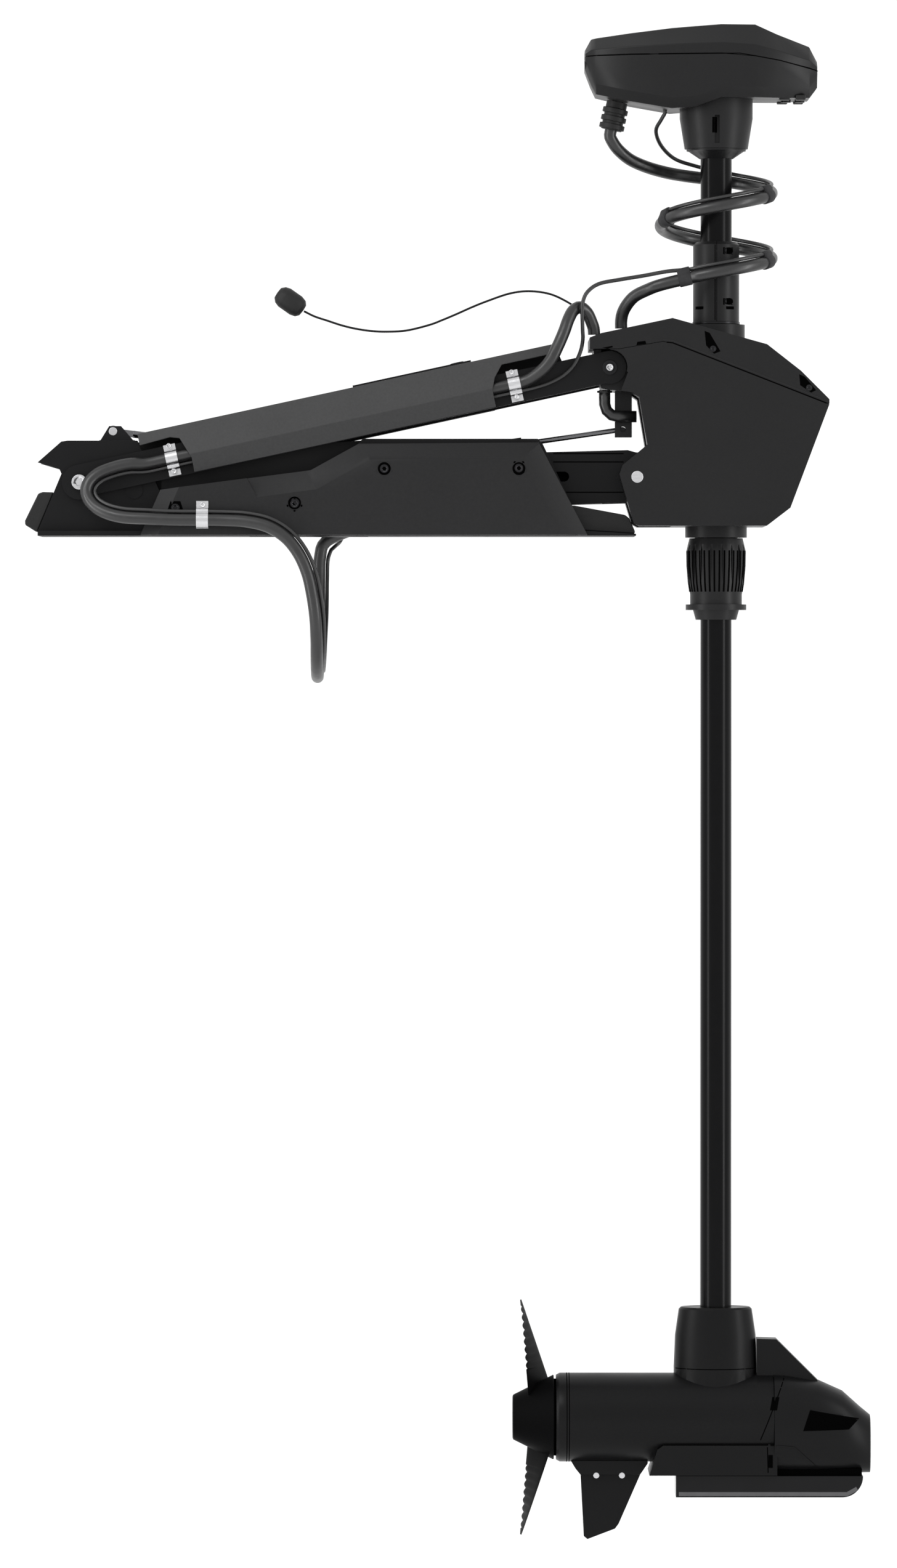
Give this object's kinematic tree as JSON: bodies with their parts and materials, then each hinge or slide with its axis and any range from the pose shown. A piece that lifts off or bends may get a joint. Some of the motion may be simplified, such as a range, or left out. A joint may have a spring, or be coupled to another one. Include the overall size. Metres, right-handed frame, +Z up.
{
  "type": "trolling motor",
  "caption": "Bow-mount electric trolling motor, deployed: folding deck mount with two arms, steering housing, cable-fed shaft and control head, and a submerged motor with propeller and skeg.",
  "frame": {"origin": "on the deck, under the base, at the centre of the four outer deck bolts", "axes": "+X forward over the bow, +Y to port, +Z up; the shaft hangs along Z"},
  "size_m": [0.8532, 0.2312, 1.5318],
  "materials": {
    "extrusion": "satin black anodised aluminium",
    "cover_plastic": "fine-textured charcoal",
    "housing_plastic": "satin black",
    "black_screw": "black oxide",
    "rubber_pad": "matte",
    "stainless": "brushed stainless",
    "gloss_panel": "gloss black",
    "black_steel": "black painted steel",
    "strut_rod": "dark nitrided rod",
    "bearing_plastic": "natural acetal",
    "cable_jacket": "smooth satin jacket",
    "bronze": "machined bronze",
    "shaft_composite": "satin black composite",
    "circuit_board": "solder mask",
    "motor_paint": "satin black",
    "copper_winding": "enamelled copper",
    "gloss_black": "gloss black",
    "prop_plastic": "satin black glass-filled nylon",
    "plug_plastic": "satin",
    "cord_fibre": "braided",
    "handle_rubber": "smooth moulded"
  },
  "bodies": {
    "base": {"base_frame": "extrusion", "left_base_cover": "cover_plastic", "right_base_cover": "cover_plastic", "base_cover_screws": "black_screw", "motor_rest": "rubber_pad", "rear_bumper": "rubber_pad", "strut_bracket": "extrusion", "bracket_pin": "stainless", "arm_pivot_bolts": "black_screw", "base_cable_clip": "stainless", "power_lead": "cable_jacket", "lead_hank": "cable_jacket", "lead_plug": "plug_plastic"},
    "upper_arm": {"upper_arm_frame": "extrusion", "upper_arm_cover": "cover_plastic", "indicator_panel": "gloss_panel", "arm_cable_clips": "stainless", "arm_turn_cable": "cable_jacket"},
    "power_button": {"power_button": "gloss_panel"},
    "lower_arm": {"lower_arm": "extrusion"},
    "latch_hook": {"latch_hook": "stainless"},
    "front_strut_cylinder": {"front_strut_cylinder": "black_steel"},
    "front_strut_rod": {"front_strut_rod": "strut_rod"},
    "rear_strut_rod": {"rear_strut_rod": "strut_rod"},
    "rear_strut_cylinder": {"rear_strut_cylinder": "black_steel"},
    "steering_housing": {"steering_housing": "housing_plastic", "housing_cover": "housing_plastic", "housing_screws": "black_screw", "steering_gearmotor": "black_steel", "sleeve_bearings": "bearing_plastic", "cable_elbow": "cable_jacket", "lower_arm_pin": "stainless", "front_pivot_bolts": "black_screw", "coil_cable_lower": "cable_jacket", "housing_loop_cable": "cable_jacket", "pull_cord": "cord_fibre"},
    "worm": {"worm": "black_steel"},
    "stabiliser_collar": {"stabiliser_collar": "housing_plastic"},
    "steering_sleeve": {"drive_sleeve": "black_steel", "worm_wheel": "bronze", "depth_collar": "housing_plastic", "collar_screws": "black_screw"},
    "shaft_and_motor": {"shaft_tube": "shaft_composite", "head_base": "housing_plastic", "head_cover": "cover_plastic", "head_board": "circuit_board", "cable_gland": "cable_jacket", "strut_cap": "housing_plastic", "motor_tube": "motor_paint", "stator": "copper_winding", "tail_bell": "motor_paint", "nose_cone": "housing_plastic", "transducer": "gloss_black", "skeg": "housing_plastic", "skeg_screws": "stainless", "coil_cable_upper": "cable_jacket"},
    "propeller": {"rotor": "black_steel", "propeller": "prop_plastic", "prop_nut": "stainless"},
    "pull_handle": {"pull_handle": "handle_rubber"}
  },
  "joints": [
    {"name": "stow", "type": "hinge", "parent": "base", "child": "upper_arm", "pos_m": [-0.23, 0, 0.054], "axis": [0, -1, 0], "range_deg": [0, 150], "deforming": ["arm_turn_cable"]},
    {"name": "housing_tilt", "type": "hinge", "parent": "upper_arm", "child": "steering_housing", "pos_m": [0.30367, 0, 0.16938], "axis": [0, -1, 0], "range_deg": [-60.2, 0], "deforming": ["housing_loop_cable"]},
    {"name": "lower_arm_swing", "type": "hinge", "parent": "steering_housing", "child": "lower_arm", "pos_m": [0.33097, 0, 0.05898], "axis": [0, -1, 0], "range_deg": [0, 65.2]},
    {"name": "front_strut_swing", "type": "hinge", "parent": "lower_arm", "child": "front_strut_cylinder", "pos_m": [0.08, -0.011, 0.0735], "axis": [0, -1, 0], "range_deg": [-4.8, 0]},
    {"name": "front_strut_stroke", "type": "slide", "parent": "front_strut_cylinder", "child": "front_strut_rod", "axis": [0.9896, 0, 0.1437], "range_m": [0, 0.0506]},
    {"name": "rear_strut_swing", "type": "hinge", "parent": "base", "child": "rear_strut_rod", "pos_m": [-0.199, 0.035, 0.107], "axis": [0, -1, 0], "range_deg": [0, 187]},
    {"name": "rear_strut_stroke", "type": "slide", "parent": "rear_strut_rod", "child": "rear_strut_cylinder", "axis": [0.9917, 0, -0.1286], "range_m": [-0.0575, 0]},
    {"name": "steering", "type": "hinge", "parent": "steering_housing", "child": "steering_sleeve", "pos_m": [0.412, 0, 0.1], "axis": [0, 0, 1], "range_deg": [-180, 180], "deforming": ["coil_cable_lower"]},
    {"name": "worm_turn", "type": "hinge", "parent": "steering_housing", "child": "worm", "pos_m": [0.4606, 0, 0.066], "axis": [0, 1, 0], "range_deg": [-4330, 4330]},
    {"name": "shaft_depth", "type": "slide", "parent": "steering_sleeve", "child": "shaft_and_motor", "axis": [0, 0, 1], "range_m": [-0.08, 0.4], "deforming": ["coil_cable_upper"]},
    {"name": "propeller_spin", "type": "hinge", "parent": "shaft_and_motor", "child": "propeller", "pos_m": [0.227, 0, -0.892], "axis": [1, 0, 0], "continuous": true},
    {"name": "stabiliser_twist", "type": "hinge", "parent": "steering_housing", "child": "stabiliser_collar", "pos_m": [0.412, 0, -0.04], "axis": [0, 0, 1], "range_deg": [0, 90]},
    {"name": "power_button_press", "type": "slide", "parent": "upper_arm", "child": "power_button", "axis": [0.2113, 0, -0.9774], "range_m": [0, 0.0012], "stiffness_N_per_m": 400},
    {"name": "handle_pull", "type": "slide", "parent": "steering_housing", "child": "pull_handle", "axis": [-0.8171, 0, 0.5764], "range_m": [0, 0.05], "deforming": ["pull_cord"]},
    {"name": "latch_swing", "type": "hinge", "parent": "lower_arm", "child": "latch_hook", "pos_m": [0.226, 0, 0.05], "axis": [0, 1, 0], "range_deg": [0, 25.2]}
  ],
  "couplings": [
    {"joint": "housing_tilt", "follows": "stow", "ratio": -0.4},
    {"joint": "lower_arm_swing", "follows": "stow", "ratio": 0.43336},
    {"joint": "front_strut_swing", "follows": "stow", "ratio": -0.03081},
    {"joint": "front_strut_stroke", "follows": "stow", "m_per_rad": 0.019209},
    {"joint": "rear_strut_swing", "follows": "stow", "ratio": 1.2433},
    {"joint": "rear_strut_stroke", "follows": "stow", "m_per_rad": -0.021811},
    {"joint": "worm_turn", "follows": "steering", "ratio": 24},
    {"joint": "latch_swing", "follows": "handle_pull", "rad_per_m": 8.7266}
  ]
}
